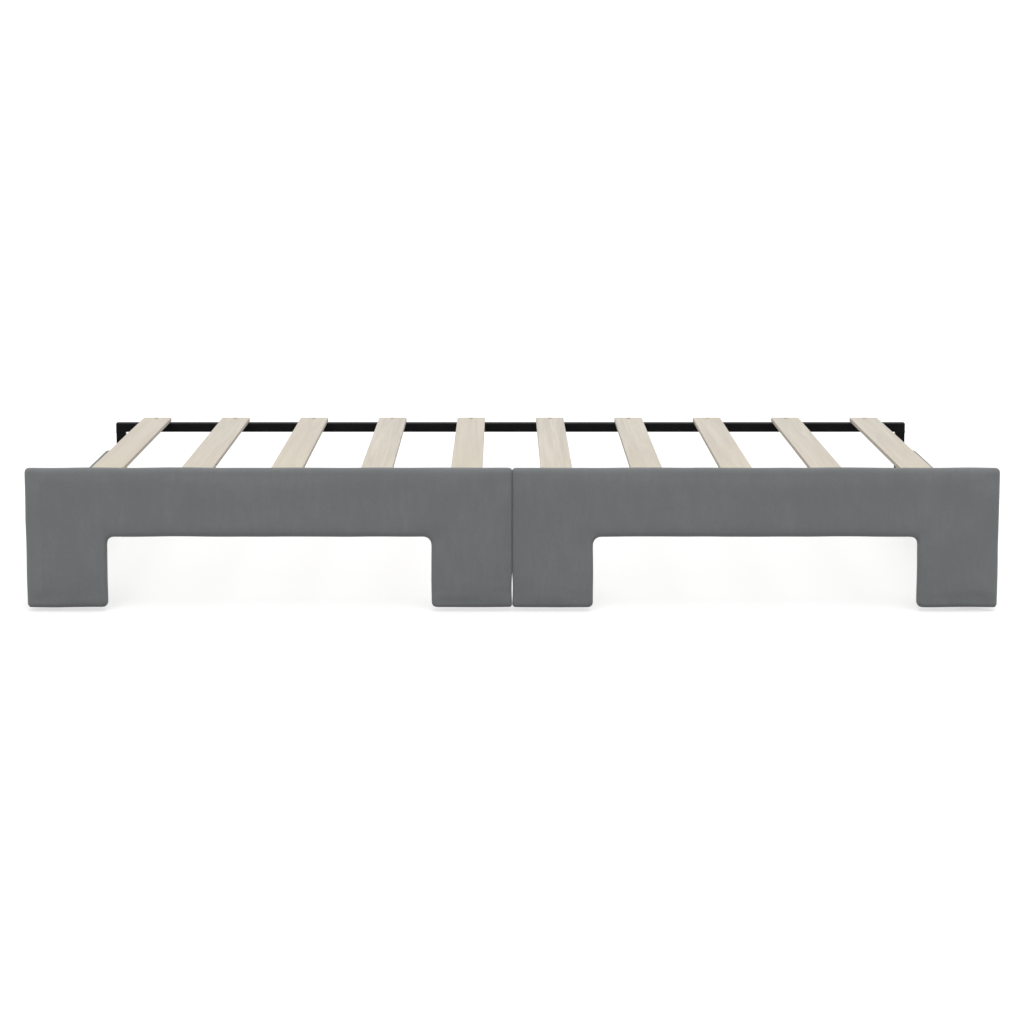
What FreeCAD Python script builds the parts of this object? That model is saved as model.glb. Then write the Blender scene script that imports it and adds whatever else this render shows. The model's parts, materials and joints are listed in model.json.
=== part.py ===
import FreeCAD, Part
import math
import os
import re
import Sketcher

# A trundle bed: a low steel frame on four fixed castors, ten screwed slats, two arched
# upholstered front panels and a small upholstered board on each side.
# X runs along the bed, -Y is its front, +Z is up, and z = 0 is the floor.

SIZES = {
    # the whole bed
    "overall_length": 2000,
    "overall_depth": 936,
    "ground_clearance": 8,
    "frame_height": 235,
    # front panels
    "front_height": 291,
    "seam_gap": 1.5,
    "leg_width": 166,
    "arch_height": 148,
    "arch_radius": 16,
    "foot_radius": 10,
    "outer_radius": 7,
    "padding_round": 5,
    "front_padding": 8,
    "edge_padding": 5,
    "board_thickness": 15,
    "lining_thickness": 1,
    "lining_inset": 12,
    # side boards
    "side_height": 121,
    "side_bottom": 60,
    "side_board_thickness": 9,
    "side_padding": 5,
    "side_front_gap": 1,
    "side_rear_gap": 33,
    "side_top_radius": 45,
    "side_foot_radius": 18,
    "side_padding_round": 3,
    # steel tubes
    "tube_size": 22,
    "tube_wall": 1.5,
    "tube_corner": 2.5,
    "side_tube_top": 129,
    "slat_overhang": 6,
    # plastic caps in the rail ends
    "cap_thickness": 2,
    "cap_depth": 12,
    "cap_clearance": 0.1,
    # slats
    "slat_count": 10,
    "slat_end_gap": 65,
    "slat_width": 69,
    "slat_thickness": 10,
    "slat_edge_round": 1.5,
    "slat_front_gap": 1,
    # castors
    "wheel_radius": 25,
    "wheel_width": 20,
    "tread_thickness": 5,
    "tread_round": 3,
    "wheel_top_gap": 6,
    "hub_side_gap": 0.4,
    "hub_web": 8,
    "hub_rim": 4,
    "hub_boss_radius": 8,
    "axle_radius": 3,
    "axle_clearance": 0.05,
    "axle_fit": 0.1,
    "axle_head_radius": 5.5,
    "axle_head_height": 3.5,
    "nut_radius": 5.75,
    "nut_height": 5,
    "axle_end_proud": 1.5,
    "fork_wall": 2,
    "fork_gap": 1.5,
    "fork_boss_radius": 9,
    "fork_shoulder": 36,
    "fork_corner": 4,
    "fork_plate_width": 50,
    "fork_plate_length": 70,
    "foot_plate_thickness": 3,
    "foot_plate_corner": 3,
    "castor_edge_gap": 3,
    "castor_screw_span_across": 37,
    "castor_screw_span_along": 54,
    # fasteners: a domed head steps in at its shoulder to a small flat crown
    "dome_base_share": 0.333,
    "dome_shoulder_radius_share": 0.8,
    "dome_shoulder_height_share": 0.75,
    "dome_crown_share": 0.45,
    "screw_radius": 2,
    "screw_head_radius": 4,
    "screw_head_height": 2.6,
    "screw_recess": 1,
    "screw_recess_radius": 4.5,
    "screw_tip": 4,
    "machine_screw_radius": 2.5,
    "machine_screw_head_radius": 4.5,
    "machine_screw_head_height": 2.5,
    "machine_screw_tip": 2,
    "bolt_radius": 3,
    "bolt_head_radius": 5.5,
    "bolt_head_height": 3.3,
    "bolt_clearance": 0.3,
    "nut_barrel_radius": 4,
    "nut_flange_radius": 9.5,
    "nut_flange": 1.5,
    "hole_clearance": 0.1,
    # steel plates over the seam between the front panels
    "plate_length": 120,
    "plate_height": 30,
    "plate_thickness": 2,
    "plate_corner": 2,
    "upper_plate_centre": 165,
    "lower_plate_centre": 100,
    "plate_screw_inner": 20,
    "plate_screw_outer": 45,
    "plate_screw_bite": 10,
    # where bolts and screws stand
    "bolt_from_seam": 90,
    "bolt_end_inset": 136,
    "leg_bolt_height": 95,
    "side_screw_inset": 60,
    "side_screw_bite": 7,
}

# How close two coordinates are when they count as the same.
NEAR = 0.01

SIDES = {"left": -1, "right": 1}
ENDS = {"front": 1, "rear": -1}
SLATS = range(int(SIZES["slat_count"]))
RAIL_BOLTS = range(3)
SIDE_SCREWS = range(3)

# Places worked out from the driving dimensions.
FRONT = "(-overall_depth / 2)"
BOARD_BACK = "(-overall_depth / 2 + front_padding + board_thickness)"
PANEL_BACK = "(-overall_depth / 2 + front_padding + board_thickness + lining_thickness)"
FRONT_RAIL = f"({PANEL_BACK} + tube_size / 2)"
REAR_RAIL = "(overall_depth / 2 - slat_overhang - tube_size / 2)"
RAIL = {"front": FRONT_RAIL, "rear": REAR_RAIL}
RAIL_HEIGHT = "(frame_height - tube_size / 2)"
RAIL_REACH = "(overall_length / 2 - side_board_thickness - side_padding)"
LEG_CENTRE = f"({RAIL_REACH} - tube_size / 2)"
SIDE_TUBE_HEIGHT = "(side_tube_top - tube_size / 2)"
FORK_TOP = "(2 * wheel_radius + wheel_top_gap + fork_wall)"
PLATE_TOP = f"({FORK_TOP} + foot_plate_thickness)"
PLATE_REACH = "(tube_size + castor_edge_gap + fork_plate_length)"
CASTOR_ACROSS = f"({RAIL_REACH} - fork_plate_width / 2)"
CASTOR_INSET = "(tube_size / 2 + castor_edge_gap + fork_plate_length / 2)"
CHEEK = "(wheel_width / 2 + fork_gap)"
SIDE_FRONT = f"({PANEL_BACK} + side_front_gap)"
SIDE_REAR = f"({REAR_RAIL} - tube_size / 2 - side_rear_gap)"
SLAT_FRONT = f"({PANEL_BACK} + slat_front_gap)"
SLAT_LENGTH = f"(overall_depth / 2 - {SLAT_FRONT})"
SLAT_PITCH = f"((2 * ({RAIL_REACH} - slat_end_gap) - slat_width) / (slat_count - 1))"
BOLT_SPACING = f"(({RAIL_REACH} - bolt_end_inset - bolt_from_seam) / {len(RAIL_BOLTS) - 1})"

document = FreeCAD.newDocument("trundle_bed")
sizes = document.addObject("Spreadsheet::Sheet", "sizes")
for row, (name, value) in enumerate(SIZES.items(), start=1):
    sizes.set(f"A{row}", name)
    sizes.set(f"B{row}", str(value))
    sizes.setAlias(f"B{row}", name)
document.recompute()

parts = {}


# ---------------------------------------------------------------- helpers

def formula(text):
    """Point the names of driving dimensions in a formula at the sheet."""
    return re.sub(r"[a-z_]+", lambda word: f"sizes.{word.group()}" if word.group() in SIZES else word.group(), text)


def amount(text):
    """The value in millimetres that a formula has now."""
    return float(sizes.evalExpression(formula(text)))


def new_body(label):
    """An empty body with its own label."""
    body = document.addObject("PartDesign::Body", label)
    body.Label = label
    return body


def sketch_on(body, role, name, offset=None):
    """A sketch on one of the body's origin planes, or a formula's distance above it."""
    plane = next(item for item in body.Origin.OriginFeatures if item.Role == role)
    sketch = body.newObject("Sketcher::SketchObject", name)
    sketch.AttachmentSupport = [(plane, "")]
    sketch.MapMode = "FlatFace"
    if offset:
        sketch.setExpression("AttachmentOffset.Base.z", formula(offset))
    return sketch


def bind(sketch, index, name, text):
    """Name a constraint and tie it to a formula."""
    sketch.renameConstraint(index, name)
    sketch.setExpression(f"Constraints.{name}", formula(text))


def polygon(sketch, points):
    """A closed outline whose corners are formulas in the sketch's own plane."""
    first = sketch.GeometryCount
    count = len(points)
    turn = 2 * math.pi / count
    corners = [FreeCAD.Vector(math.cos(turn * i), math.sin(turn * i), 0) for i in range(count)]
    for i in range(count):
        sketch.addGeometry(Part.LineSegment(corners[i], corners[(i + 1) % count]), False)
    for i in range(count):
        following = first + (i + 1) % count
        sketch.addConstraint(Sketcher.Constraint("Coincident", first + i, 2, following, 1))
    for i, (across, along) in enumerate(points):
        for kind, text in (("DistanceX", across), ("DistanceY", along)):
            index = sketch.addConstraint(Sketcher.Constraint(kind, -1, 1, first + i, 1, 1.0))
            bind(sketch, index, f"{kind}_{first + i}", text)


def rectangle(sketch, left, bottom, right, top):
    """A rectangle between two corners given as formulas."""
    polygon(sketch, [(left, bottom), (right, bottom), (right, top), (left, top)])


def circle(sketch, across, along, radius):
    """A circle at a place given by formulas."""
    index = sketch.addGeometry(Part.Circle(FreeCAD.Vector(0, 0, 0), FreeCAD.Vector(0, 0, 1), 1), False)
    for kind, text in (("DistanceX", across), ("DistanceY", along)):
        constraint = sketch.addConstraint(Sketcher.Constraint(kind, -1, 1, index, 3, 1.0))
        bind(sketch, constraint, f"{kind}_{index}", text)
    constraint = sketch.addConstraint(Sketcher.Constraint("Radius", index, 1.0))
    bind(sketch, constraint, f"Radius_{index}", radius)


def pad(body, sketch, length, middle=False, backwards=False):
    """Extrude a sketch by a formula's length."""
    feature = body.newObject("PartDesign::Pad", f"{sketch.Name}_pad")
    feature.Profile = sketch
    feature.setExpression("Length", formula(length))
    feature.Midplane = middle
    feature.Reversed = backwards
    document.recompute()
    return feature


def pocket(body, sketch, length, middle=False, backwards=False):
    """Cut a sketch into the body and make sure that it removes material."""
    before = body.Shape.Volume
    feature = body.newObject("PartDesign::Pocket", f"{sketch.Name}_pocket")
    feature.Profile = sketch
    feature.setExpression("Length", formula(length))
    feature.Midplane = middle
    feature.Reversed = backwards
    document.recompute()
    if body.Shape.Volume > before - 1:
        raise RuntimeError(f"{body.Label}: {sketch.Name} cuts nothing")
    return feature


def revolve(body, sketch, axis):
    """Turn a sketch all the way round one of its own axes."""
    feature = body.newObject("PartDesign::Revolution", f"{sketch.Name}_turn")
    feature.Profile = sketch
    feature.ReferenceAxis = (sketch, [axis])
    feature.Angle = 360
    document.recompute()
    return feature


def round_edges(body, name, radius, chosen):
    """Fillet the body's edges for which chosen(edge) is true."""
    names = [f"Edge{i}" for i, edge in enumerate(body.Tip.Shape.Edges, start=1) if chosen(edge)]
    if not names:
        raise RuntimeError(f"{body.Label}: no edges for {name}")
    base = body.Tip
    feature = body.newObject("PartDesign::Fillet", name)
    feature.Base = (base, names)
    feature.setExpression("Radius", formula(radius))
    document.recompute()
    return feature


def runs_along(edge, axis):
    """Whether a straight edge is parallel to axis 0, 1 or 2."""
    if len(edge.Vertexes) != 2:
        return False
    step = edge.Vertexes[1].Point - edge.Vertexes[0].Point
    return abs(abs(step[axis]) - edge.Length) < 1e-6


def place(part, across="0", along="0", up="0", turn=None):
    """Put a part at formulas' distances, turned by (axis, degrees) if need be."""
    if turn:
        part.Placement.Rotation = FreeCAD.Rotation(FreeCAD.Vector(*turn[0]), turn[1])
    for letter, text in (("x", across), ("y", along), ("z", up)):
        part.setExpression(f"Placement.Base.{letter}", formula(text))
    document.recompute()


def keep(part):
    """Count a part as one of the bed's pieces."""
    parts[part.Label] = part
    return part


def keep_group(label, master, places):
    """One node of identical fasteners: the master's solid at each placement."""
    group = document.addObject("Part::Feature", label)
    group.Label = label
    solids = []
    for spot in places:
        solid = master.Shape.copy()
        solid.Placement = spot.multiply(master.Shape.Placement)
        solids.append(solid)
    group.Shape = Part.makeCompound(solids)
    return keep(group)


def spot(across, along, up, turn=None):
    """A fastener's placement from formulas, turned by (axis, degrees) if need be."""
    rotation = FreeCAD.Rotation(FreeCAD.Vector(*turn[0]), turn[1]) if turn else FreeCAD.Rotation()
    return FreeCAD.Placement(FreeCAD.Vector(amount(across), amount(along), amount(up)), rotation)


def slat_place(index):
    """Where a slat's centre line stands along the bed."""
    return f"(({index} - (slat_count - 1) / 2) * {SLAT_PITCH})"


def rail_bolt_place(side, index):
    """Where a panel bolt stands along the front rail."""
    return f"({side} * (bolt_from_seam + {index} * {BOLT_SPACING}))"


def side_screw_place(index):
    """Where a side board's screw stands, from front to rear."""
    share = index / (len(SIDE_SCREWS) - 1)
    reach = f"({SIDE_REAR} - {SIDE_FRONT} - 2 * side_screw_inset)"
    return f"({SIDE_FRONT} + side_screw_inset + {reach} * {share})"


# ---------------------------------------------------------------- front panels

def arched_blank(label, side, inset, arch_radius, foot_radius, outer_radius, thickness):
    """An upside-down U with its back on the XZ plane, drawn inset from the padded outline."""
    seam = f"({side} * (seam_gap / 2 + {inset}))"
    seam_leg = f"({side} * (seam_gap / 2 + leg_width - {inset}))"
    outer_leg = f"({side} * (overall_length / 2 - leg_width + {inset}))"
    outer = f"({side} * (overall_length / 2 - {inset}))"
    foot = f"(ground_clearance + {inset})"
    arch = f"(ground_clearance + arch_height + {inset})"
    top = f"(ground_clearance + front_height - {inset})"
    body = new_body(label)
    outline = sketch_on(body, "XZ_Plane", f"{label}_outline")
    polygon(outline, [
        (seam, foot), (seam_leg, foot), (seam_leg, arch), (outer_leg, arch),
        (outer_leg, foot), (outer, foot), (outer, top), (seam, top),
    ])
    pad(body, outline, thickness)
    arch_level = amount(arch)
    foot_level = amount(foot)
    leg_edges = (amount(seam_leg), amount(outer_leg))
    outer_edges = (amount(seam), amount(outer))

    def upright(edge, edges):
        return runs_along(edge, 1) and any(abs(edge.Vertexes[0].X - across) < NEAR for across in edges)

    def at_level(edge, level):
        return abs(edge.Vertexes[0].Z - level) < NEAR

    round_edges(body, f"{label}_arch", arch_radius,
                lambda edge: upright(edge, leg_edges) and at_level(edge, arch_level))
    if foot_radius:
        round_edges(body, f"{label}_foot", foot_radius,
                    lambda edge: upright(edge, leg_edges) and at_level(edge, foot_level))
    if outer_radius:
        round_edges(body, f"{label}_corner", outer_radius, lambda edge: upright(edge, outer_edges))
    return body


def board_blank(label, side):
    """The plain board of a front panel, before it is drilled."""
    return arched_blank(label, side, "edge_padding", "arch_radius + edge_padding",
                        "foot_radius - edge_padding", None, "board_thickness")


def bolt_spots(side):
    """The panel bolts of one side, as (across, up) formulas."""
    along_rail = [(rail_bolt_place(side, i), RAIL_HEIGHT) for i in RAIL_BOLTS]
    return along_rail + [(f"({side} * {LEG_CENTRE})", "leg_bolt_height")]


def plate_screw_spots(side):
    """The seam plates' screws on one side, as (across, up) formulas."""
    across = ("plate_screw_inner", "plate_screw_outer")
    up = ("upper_plate_centre", "lower_plate_centre")
    return [(f"({side} * {x})", z) for x in across for z in up]


def front_board(name, side):
    """A plywood board drilled for the bolts' tee nuts and the seam plates' screws."""
    body = board_blank(f"front_board_{name}", side)
    barrels = sketch_on(body, "XZ_Plane", f"barrels_{name}")
    for across, up in bolt_spots(side):
        circle(barrels, across, up, "nut_barrel_radius + hole_clearance")
    pocket(body, barrels, "board_thickness", backwards=True)
    flanges = sketch_on(body, "XZ_Plane", f"flanges_{name}", "board_thickness")
    for across, up in bolt_spots(side):
        circle(flanges, across, up, "nut_flange_radius + hole_clearance")
    pocket(body, flanges, "nut_flange")
    pilots = sketch_on(body, "XZ_Plane", f"pilots_{name}")
    for across, up in plate_screw_spots(side):
        circle(pilots, across, up, "screw_radius + hole_clearance")
    pocket(body, pilots, "plate_screw_bite", backwards=True)
    place(body, along=BOARD_BACK)
    return keep(body)


def front_cover(name, side):
    """Foam and fabric round a front board: its front, its edges and the inside of its arch."""
    block = arched_blank(f"padding_{name}", side, "0", "arch_radius", "foot_radius", "outer_radius",
                         "front_padding + board_thickness")
    face = block.Tip.Shape.BoundBox.YMin
    round_edges(block, f"padding_{name}_face", "padding_round",
                lambda edge: abs(edge.BoundBox.YMax - face) < NEAR)
    place(block, along=BOARD_BACK)
    space = board_blank(f"board_space_{name}", side)
    place(space, along=BOARD_BACK)
    cover = document.addObject("Part::Cut", f"front_cover_{name}")
    cover.Label = f"front_cover_{name}"
    cover.Base = block
    cover.Tool = space
    document.recompute()
    return keep(cover)


def back_lining(name, side):
    """The thin woven lining over the board's back, open at its bolts and screws."""
    body = arched_blank(f"back_lining_{name}", side, "lining_inset", "arch_radius + lining_inset",
                        None, None, "lining_thickness")
    holes = sketch_on(body, "XZ_Plane", f"lining_holes_{name}")
    for across, up in bolt_spots(side):
        circle(holes, across, up, "nut_barrel_radius + hole_clearance")
    for across, up in plate_screw_spots(side):
        circle(holes, across, up, "screw_radius + hole_clearance")
    pocket(body, holes, "lining_thickness", backwards=True)
    place(body, along=PANEL_BACK)
    return keep(body)


def joining_plate(name, centre):
    """A steel strip screwed over the seam behind the two front panels."""
    body = new_body(f"joining_plate_{name}")
    strip = sketch_on(body, "XZ_Plane", f"strip_{name}")
    rectangle(strip, "-plate_length / 2", "-plate_height / 2", "plate_length / 2", "plate_height / 2")
    pad(body, strip, "plate_thickness", backwards=True)
    round_edges(body, f"strip_{name}_corners", "plate_corner", lambda edge: runs_along(edge, 1))
    holes = sketch_on(body, "XZ_Plane", f"strip_holes_{name}")
    for side in SIDES.values():
        for across in ("plate_screw_inner", "plate_screw_outer"):
            circle(holes, f"{side} * {across}", "0", "screw_radius + hole_clearance")
    pocket(body, holes, "plate_thickness")
    place(body, along=PANEL_BACK, up=centre)
    return keep(body)


# ---------------------------------------------------------------- steel frame

def square_tube(label, length, middle=False):
    """A square steel tube along the body's own X axis, centred on it."""
    body = new_body(label)
    outside = sketch_on(body, "YZ_Plane", f"{label}_outside")
    rectangle(outside, "-tube_size / 2", "-tube_size / 2", "tube_size / 2", "tube_size / 2")
    pad(body, outside, length, middle)
    round_edges(body, f"{label}_corners", "tube_corner", lambda edge: runs_along(edge, 0))
    inside = sketch_on(body, "YZ_Plane", f"{label}_inside")
    half = "(tube_size / 2 - tube_wall)"
    rectangle(inside, f"-{half}", f"-{half}", half, half)
    pocket(body, inside, length, middle, backwards=not middle)
    return body


def long_rail(end):
    """A long rail drilled on top for the slat screws; the front one also for the panel bolts."""
    body = square_tube(f"{end}_rail", f"2 * ({RAIL_REACH} - cap_thickness)", middle=True)
    holes = sketch_on(body, "XY_Plane", f"{end}_slat_holes", "tube_size / 2")
    for index in SLATS:
        circle(holes, slat_place(index), "0", "screw_radius + hole_clearance")
    pocket(body, holes, "2 * tube_wall")
    if end == "front":
        bores = sketch_on(body, "XZ_Plane", "front_bolt_holes")
        for side in SIDES.values():
            for index in RAIL_BOLTS:
                circle(bores, rail_bolt_place(side, index), "0", "bolt_radius + bolt_clearance")
        pocket(body, bores, "2 * tube_size", middle=True)
    place(body, along=RAIL[end], up=RAIL_HEIGHT)
    return keep(body)


def frame_leg(end, name, side):
    """An upright from the foot plate to the underside of the rail."""
    body = square_tube(f"{end}_leg_{name}", f"frame_height - tube_size - {PLATE_TOP}")
    if end == "front":
        bore = sketch_on(body, "XZ_Plane", f"leg_bore_{name}")
        circle(bore, f"leg_bolt_height - {PLATE_TOP}", "0", "bolt_radius + bolt_clearance")
        pocket(body, bore, "2 * tube_size", middle=True)
    place(body, f"{side} * {LEG_CENTRE}", RAIL[end], PLATE_TOP, ((0, 1, 0), -90))
    return keep(body)


def side_tube(name, side):
    """The low tube between the front and rear legs, drilled for the side board's screws."""
    length = f"({REAR_RAIL} - {FRONT_RAIL} - tube_size)"
    body = square_tube(f"side_tube_{name}", length)
    start = f"({FRONT_RAIL} + tube_size / 2)"
    holes = sketch_on(body, "XZ_Plane", f"side_tube_holes_{name}")
    for index in SIDE_SCREWS:
        circle(holes, f"{side_screw_place(index)} - {start}", "0", "screw_radius + hole_clearance")
    pocket(body, holes, "2 * tube_size", middle=True)
    place(body, f"{side} * {LEG_CENTRE}", start, SIDE_TUBE_HEIGHT, ((0, 0, 1), 90))
    return keep(body)


def end_cap():
    """A plastic cap: a thin plate over the tube's end and a plug inside it, along +X."""
    body = new_body("end_cap_master")
    plate = sketch_on(body, "YZ_Plane", "cap_plate")
    rectangle(plate, "-tube_size / 2", "-tube_size / 2", "tube_size / 2", "tube_size / 2")
    pad(body, plate, "cap_thickness")
    round_edges(body, "cap_corners", "tube_corner", lambda edge: runs_along(edge, 0))
    plug = sketch_on(body, "YZ_Plane", "cap_plug")
    half = "(tube_size / 2 - tube_wall - cap_clearance)"
    rectangle(plug, f"-{half}", f"-{half}", half, half)
    pad(body, plug, "cap_depth", backwards=True)
    return body


# ---------------------------------------------------------------- side boards

def side_blank(label, inner, outer, inset):
    """A board on the YZ plane from inner to outer, with rounded rear corners."""
    body = new_body(label)
    outline = sketch_on(body, "YZ_Plane", f"{label}_outline", inner)
    rectangle(outline, f"{SIDE_FRONT} + {inset}", f"side_bottom + {inset}",
              f"{SIDE_REAR} - {inset}", f"side_bottom + side_height - {inset}")
    pad(body, outline, f"{outer} - {inner}")
    rear = amount(f"{SIDE_REAR} - {inset}")
    middle = amount("side_bottom + side_height / 2")

    def at_rear(edge):
        return runs_along(edge, 0) and abs(edge.Vertexes[0].Y - rear) < NEAR

    round_edges(body, f"{label}_top", f"side_top_radius - {inset}",
                lambda edge: at_rear(edge) and edge.Vertexes[0].Z > middle)
    round_edges(body, f"{label}_foot", f"side_foot_radius - {inset}",
                lambda edge: at_rear(edge) and edge.Vertexes[0].Z < middle)
    return body


def side_board_blank(label):
    """The plain side board on the bed's right, before it is drilled."""
    return side_blank(label, RAIL_REACH, f"({RAIL_REACH} + side_board_thickness)", "edge_padding")


def on_side(part, side):
    """Turn a right-hand piece round the bed's middle line when it belongs on the left."""
    if side > 0:
        return keep(part)
    mirror = document.addObject("Part::Mirroring", part.Label.replace("_right_master", "_left"))
    mirror.Label = part.Label.replace("_right_master", "_left")
    mirror.Source = part
    mirror.Normal = FreeCAD.Vector(1, 0, 0)
    document.recompute()
    return keep(mirror)


def side_board(side):
    """A thin board screwed to the side tube."""
    label = "side_board_right" if side > 0 else "side_board_right_master"
    body = side_board_blank(label)
    pilots = sketch_on(body, "YZ_Plane", f"{label}_pilots", RAIL_REACH)
    for index in SIDE_SCREWS:
        circle(pilots, side_screw_place(index), SIDE_TUBE_HEIGHT, "screw_radius + hole_clearance")
    pocket(body, pilots, "side_screw_bite", backwards=True)
    return on_side(body, side)


def side_cover(side):
    """Foam and fabric round the side board's outer face and edges."""
    label = "side_cover_right" if side > 0 else "side_cover_right_master"
    block = side_blank(f"{label}_padding", RAIL_REACH, "overall_length / 2", "0")
    face = block.Tip.Shape.BoundBox.XMax
    round_edges(block, f"{label}_face", "side_padding_round",
                lambda edge: abs(edge.BoundBox.XMin - face) < NEAR)
    space = side_board_blank(f"{label}_space")
    cover = document.addObject("Part::Cut", label)
    cover.Label = label
    cover.Base = block
    cover.Tool = space
    document.recompute()
    return on_side(cover, side)


# ---------------------------------------------------------------- slats

def slat(index):
    """A slat with eased long edges and a sunk screw hole near each end."""
    label = f"slat_{index + 1:02d}"
    body = new_body(label)
    outline = sketch_on(body, "XY_Plane", f"{label}_outline")
    rectangle(outline, "-slat_width / 2", "0", "slat_width / 2", SLAT_LENGTH)
    pad(body, outline, "slat_thickness")
    round_edges(body, f"{label}_edges", "slat_edge_round", lambda edge: runs_along(edge, 1))
    ends = [f"{RAIL[end]} - {SLAT_FRONT}" for end in ENDS]
    holes = sketch_on(body, "XY_Plane", f"{label}_holes", "slat_thickness")
    for along in ends:
        circle(holes, "0", along, "screw_radius + hole_clearance")
    pocket(body, holes, "slat_thickness")
    recesses = sketch_on(body, "XY_Plane", f"{label}_recesses", "slat_thickness")
    for along in ends:
        circle(recesses, "0", along, "screw_recess_radius")
    pocket(body, recesses, "screw_recess")
    place(body, slat_place(index), SLAT_FRONT, "frame_height")
    return keep(body)


# ---------------------------------------------------------------- castors

def foot_plate(end, name, side):
    """The steel plate under a leg that carries the castor behind or before it."""
    way = ENDS[end]
    body = new_body(f"foot_plate_{end}_{name}")
    outline = sketch_on(body, "XY_Plane", f"plate_{end}_{name}")
    rectangle(outline, "-fork_plate_width / 2", f"{way} * -tube_size / 2",
              "fork_plate_width / 2", f"{way} * ({PLATE_REACH} - tube_size / 2)")
    pad(body, outline, "foot_plate_thickness")
    round_edges(body, f"plate_{end}_{name}_corners", "foot_plate_corner",
                lambda edge: runs_along(edge, 2))
    holes = sketch_on(body, "XY_Plane", f"plate_holes_{end}_{name}")
    for across, along in castor_screw_spots():
        circle(holes, across, f"{way} * {CASTOR_INSET} + {along}", "machine_screw_radius + hole_clearance")
    pocket(body, holes, "foot_plate_thickness", backwards=True)
    place(body, f"{side} * {CASTOR_ACROSS}", RAIL[end], FORK_TOP)
    return keep(body)


def castor_screw_spots():
    """The castor's four screws round its centre, as (across, along) formulas."""
    return [(f"{i} * castor_screw_span_across / 2", f"{j} * castor_screw_span_along / 2")
            for i in (-1, 1) for j in (-1, 1)]


def castor_fork(end, name, side):
    """A pressed steel fork: a top plate and two cheeks that hold the axle."""
    label = f"castor_fork_{end}_{name}"
    body = new_body(label)
    plate = sketch_on(body, "XY_Plane", f"{label}_plate", "wheel_radius + wheel_top_gap")
    rectangle(plate, "-fork_plate_width / 2", "-fork_plate_length / 2",
              "fork_plate_width / 2", "fork_plate_length / 2")
    pad(body, plate, "fork_wall")
    round_edges(body, f"{label}_corners", "fork_corner", lambda edge: runs_along(edge, 2))
    for cheek in (-1, 1):
        inner = f"({CHEEK} + fork_wall * {(1 - cheek) // 2})"
        web = sketch_on(body, "YZ_Plane", f"{label}_web_{'left' if cheek < 0 else 'right'}", f"{cheek} * {inner}")
        polygon(web, [
            ("-fork_boss_radius", "0"), ("fork_boss_radius", "0"),
            ("fork_shoulder / 2", "wheel_radius + wheel_top_gap + fork_wall / 2"),
            ("-fork_shoulder / 2", "wheel_radius + wheel_top_gap + fork_wall / 2"),
        ])
        pad(body, web, "fork_wall")
        boss = sketch_on(body, "YZ_Plane", f"{label}_boss_{'left' if cheek < 0 else 'right'}", f"{cheek} * {inner}")
        circle(boss, "0", "0", "fork_boss_radius")
        pad(body, boss, "fork_wall")
    bore = sketch_on(body, "YZ_Plane", f"{label}_bore")
    circle(bore, "0", "0", "axle_radius + axle_fit")
    pocket(body, bore, "fork_plate_width", middle=True)
    holes = sketch_on(body, "XY_Plane", f"{label}_holes", "wheel_radius + wheel_top_gap")
    for across, along in castor_screw_spots():
        circle(holes, across, along, "machine_screw_radius + hole_clearance")
    pocket(body, holes, "fork_wall", backwards=True)
    place(body, *castor_centre(end, side))
    return keep(body)


def castor_centre(end, side):
    """The wheel's centre, as (across, along, up) formulas."""
    return f"{side} * {CASTOR_ACROSS}", f"{RAIL[end]} + {ENDS[end]} * {CASTOR_INSET}", "wheel_radius"


def wheel_hub(end, name, side):
    """A moulded wheel centre turned about the axle: boss, web and rim."""
    label = f"wheel_hub_{end}_{name}"
    body = new_body(label)
    section = sketch_on(body, "XY_Plane", f"{label}_section")
    bore = "(axle_radius + axle_clearance)"
    boss = f"({CHEEK} - hub_side_gap)"
    rim = "(wheel_radius - tread_thickness)"
    polygon(section, [
        (f"-{boss}", bore), (boss, bore), (boss, "hub_boss_radius"), ("hub_web / 2", "hub_boss_radius"),
        ("hub_web / 2", f"{rim} - hub_rim"), ("wheel_width / 2", f"{rim} - hub_rim"),
        ("wheel_width / 2", rim), ("-wheel_width / 2", rim), ("-wheel_width / 2", f"{rim} - hub_rim"),
        ("-hub_web / 2", f"{rim} - hub_rim"), ("-hub_web / 2", "hub_boss_radius"),
        (f"-{boss}", "hub_boss_radius"),
    ])
    revolve(body, section, "H_Axis")
    place(body, *castor_centre(end, side))
    return keep(body)


def wheel_tread(end, name, side):
    """The soft tyre moulded round the wheel's rim."""
    label = f"wheel_tread_{end}_{name}"
    body = new_body(label)
    section = sketch_on(body, "XY_Plane", f"{label}_section")
    rectangle(section, "-wheel_width / 2", "wheel_radius - tread_thickness", "wheel_width / 2", "wheel_radius")
    revolve(body, section, "H_Axis")
    outer = amount("wheel_radius")
    round_edges(body, f"{label}_shoulder", "tread_round",
                lambda edge: abs(edge.BoundBox.ZMax - outer) < NEAR and edge.BoundBox.XLength < NEAR)
    place(body, *castor_centre(end, side))
    return keep(body)


# ---------------------------------------------------------------- fasteners

def domed_screw(label, head_radius, head_height, radius, length):
    """A domed screw whose head sits on the XY plane and whose shank points down."""
    body = new_body(label)
    section = sketch_on(body, "XZ_Plane", f"{label}_section")
    polygon(section, [
        ("0", f"-({length})"), (radius, f"-({length})"), (radius, "0"), (head_radius, "0"),
        (head_radius, f"{head_height} * dome_base_share"),
        (f"{head_radius} * dome_shoulder_radius_share", f"{head_height} * dome_shoulder_height_share"),
        (f"{head_radius} * dome_crown_share", head_height), ("0", head_height),
    ])
    revolve(body, section, "V_Axis")
    return body


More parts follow.
